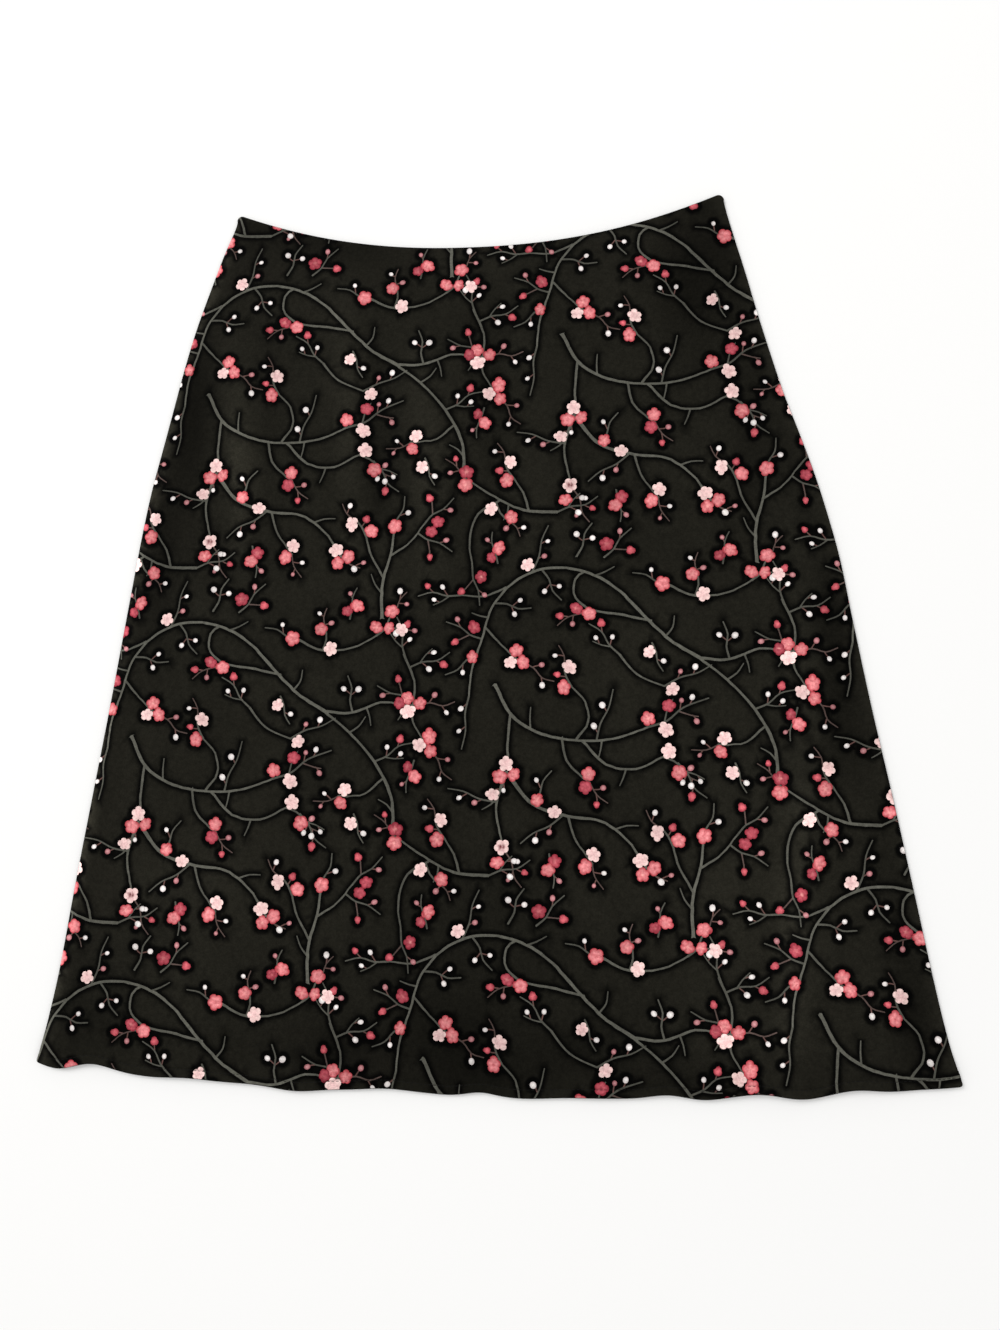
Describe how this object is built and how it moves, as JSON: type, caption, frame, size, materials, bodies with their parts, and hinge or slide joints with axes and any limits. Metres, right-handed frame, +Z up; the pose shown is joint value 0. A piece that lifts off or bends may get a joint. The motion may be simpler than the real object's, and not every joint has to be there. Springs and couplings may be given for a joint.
{
  "type": "a-line skirt",
  "caption": "Knee-length A-line skirt laid flat: front and back panels joined at the sides, curved waist edge without a waistband, narrow rolled hem.",
  "frame": {"origin": "middle of the skirt's bounding box, on the surface that it lies on", "axes": "+X across the skirt to the viewer's right, +Y from the hem to the waist, +Z up from the surface through the back and then the front"},
  "size_m": [0.6184, 0.6296, 0.0069],
  "materials": {
    "front_cloth": "matt charcoal-black crepe, printed with plum-blossom branches in grey, coral, rose and pale pink",
    "back_cloth": "matt charcoal-black crepe, printed with plum-blossom branches in grey, coral, rose and pale pink",
    "front_hem_cloth": "the same cloth, rolled and stitched with black thread",
    "back_hem_cloth": "the same cloth, rolled and stitched with black thread"
  },
  "bodies": {
    "root": {"front_panel": "front_cloth", "back_panel": "back_cloth", "front_hem": "front_hem_cloth", "back_hem": "back_hem_cloth"}
  },
  "joints": []
}
